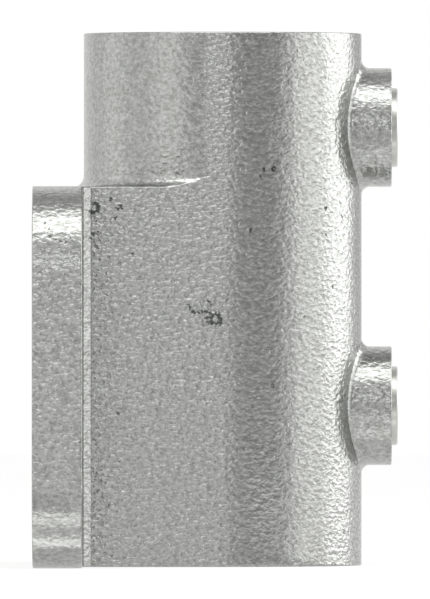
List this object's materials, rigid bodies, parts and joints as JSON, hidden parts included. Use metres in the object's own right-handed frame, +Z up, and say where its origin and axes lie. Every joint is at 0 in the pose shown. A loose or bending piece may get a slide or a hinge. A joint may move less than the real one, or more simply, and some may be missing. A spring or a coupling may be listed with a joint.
{
  "type": "tube wall flange",
  "caption": "Galvanised cast iron wall flange that holds an upright tube in an open socket, with a plate for wall bolts and set screws on the outer side.",
  "frame": {"origin": "centre of the wall bolt pattern, on the back face of the plate that lies against the wall", "axes": "+X out of the wall, +Y along the wall across the plate, +Z up along the tube"},
  "size_m": [0.0764, 0.13, 0.112],
  "materials": {
    "galvanised_iron": "hot dip galvanised, dull grey, finely crinkled",
    "zinc_plated_steel": "zinc plated, satin"
  },
  "bodies": {
    "flange": {"flange_body": "galvanised_iron"},
    "upper_screw": {"upper_set_screw": "zinc_plated_steel"},
    "lower_screw": {"lower_set_screw": "zinc_plated_steel"}
  },
  "joints": [
    {"name": "upper_screw_travel", "type": "slide", "parent": "flange", "child": "upper_screw", "axis": [1, 0, 0], "range_m": [-0.0014, 0.009]},
    {"name": "lower_screw_travel", "type": "slide", "parent": "flange", "child": "lower_screw", "axis": [1, 0, 0], "range_m": [-0.0014, 0.009]}
  ]
}
